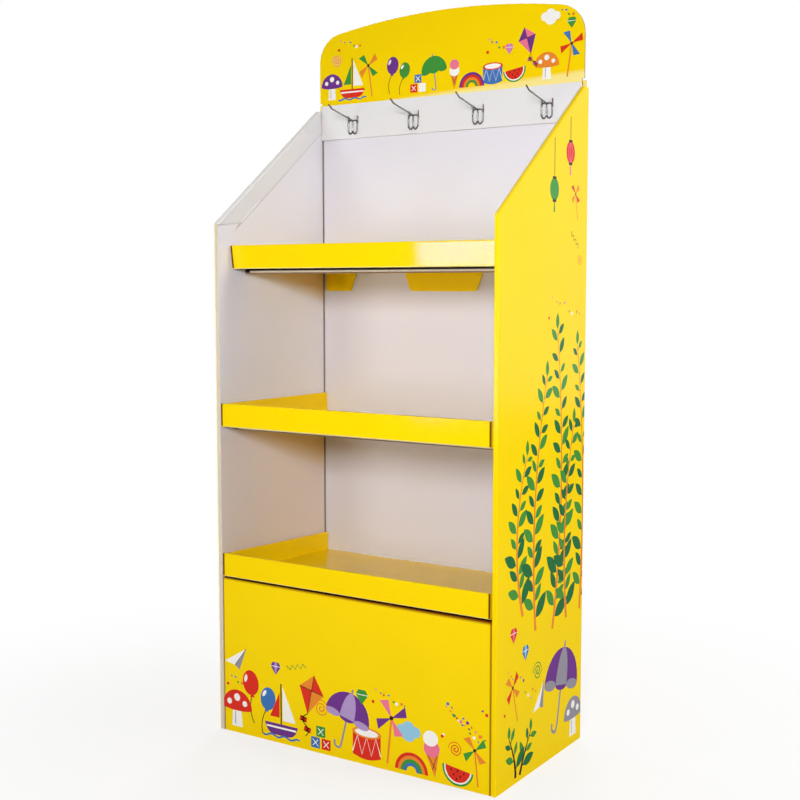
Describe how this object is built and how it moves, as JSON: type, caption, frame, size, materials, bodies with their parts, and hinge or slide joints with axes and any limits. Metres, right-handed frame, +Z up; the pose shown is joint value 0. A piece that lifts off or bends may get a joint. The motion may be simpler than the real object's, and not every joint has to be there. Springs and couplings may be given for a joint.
{
  "type": "cardboard display stand",
  "caption": "Free-standing corrugated board display stand with open shelf trays between sloping sides, an arched header card and wire hooks.",
  "frame": {"origin": "centre of the footprint on the floor", "axes": "+X to the viewer's right when facing the open front, -Y out of the open front, +Z up"},
  "size_m": [0.6, 0.3332, 1.37],
  "materials": {
    "printed_board": "gloss printed yellow outside, white liner inside, bare brown cut edges",
    "white_board": "gloss white liner, bare brown cut edges",
    "steel_tube": "satin",
    "zinc_wire": "bright zinc"
  },
  "bodies": {
    "root": {"back_panel": "printed_board", "side_left": "printed_board", "side_right": "printed_board", "header_card": "printed_board", "shelf_top": "printed_board", "shelf_middle": "printed_board", "shelf_bottom": "printed_board", "plinth_front": "printed_board", "hook_strip": "white_board", "tube_top": "steel_tube", "tube_middle": "steel_tube", "wire_hook_1": "zinc_wire", "wire_hook_2": "zinc_wire", "wire_hook_3": "zinc_wire", "wire_hook_4": "zinc_wire"}
  },
  "joints": []
}
